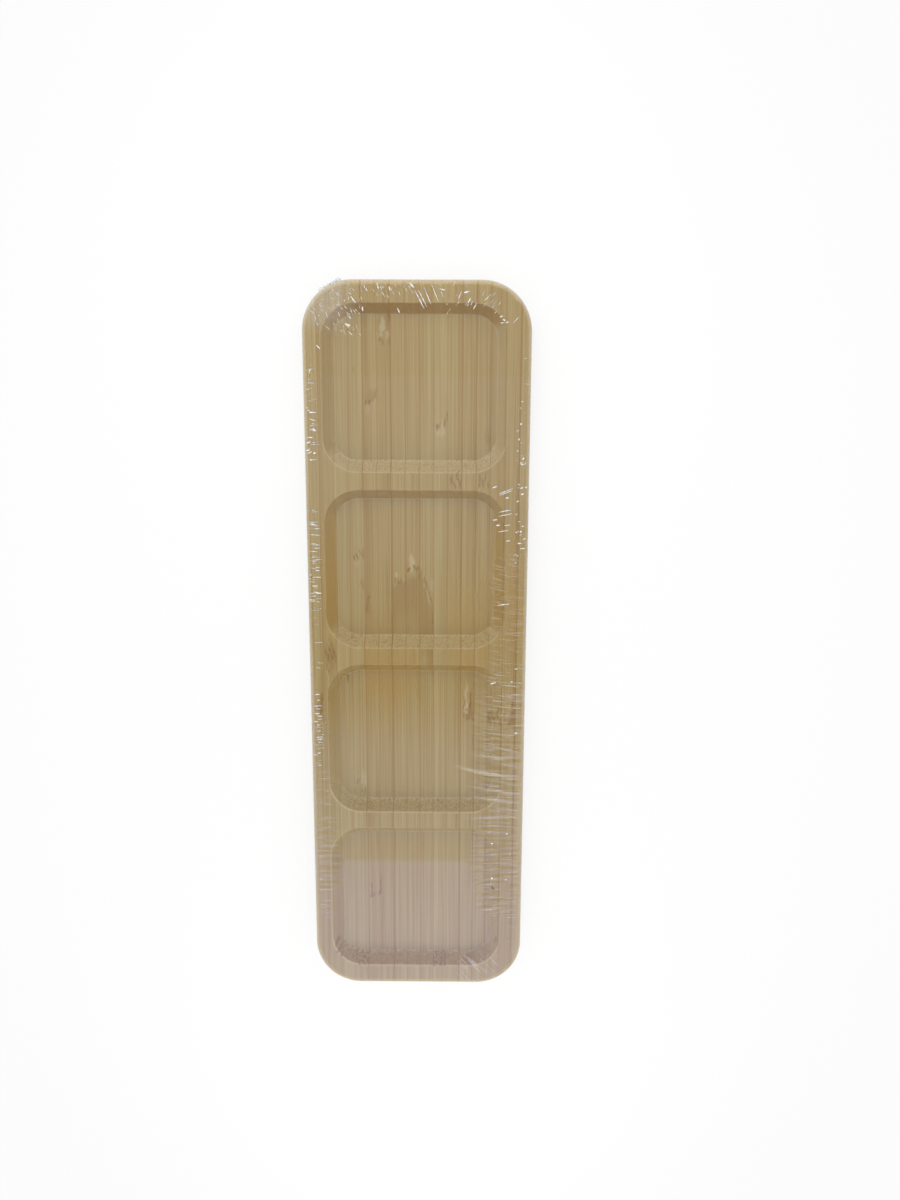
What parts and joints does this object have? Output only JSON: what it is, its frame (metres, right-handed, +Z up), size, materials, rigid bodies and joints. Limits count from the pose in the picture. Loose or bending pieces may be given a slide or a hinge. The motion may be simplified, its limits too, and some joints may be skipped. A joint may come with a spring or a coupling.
{
  "type": "bamboo serving platter",
  "caption": "Long, low serving platter of bamboo strips glued on edge, with rounded corners and a row of square wells with leaning walls for snacks or dips.",
  "frame": {"origin": "under the middle of the board, on the flat face that it rests on", "axes": "+Z up out of the wells, +Y along the strips, +X across the strips towards the wider side rim"},
  "size_m": [0.11, 0.37, 0.015],
  "materials": {
    "bamboo_pale": "satin",
    "bamboo_golden": "satin",
    "bamboo_brown": "satin"
  },
  "bodies": {
    "root": {"bamboo_strip_01": "bamboo_golden", "bamboo_strip_02": "bamboo_brown", "bamboo_strip_03": "bamboo_pale", "bamboo_strip_04": "bamboo_pale", "bamboo_strip_05": "bamboo_brown", "bamboo_strip_06": "bamboo_brown", "bamboo_strip_07": "bamboo_pale", "bamboo_strip_08": "bamboo_golden", "bamboo_strip_09": "bamboo_golden", "bamboo_strip_10": "bamboo_pale", "bamboo_strip_11": "bamboo_golden", "bamboo_strip_12": "bamboo_golden", "bamboo_strip_13": "bamboo_golden", "bamboo_strip_14": "bamboo_brown", "bamboo_strip_15": "bamboo_golden", "bamboo_strip_16": "bamboo_golden"}
  },
  "joints": []
}
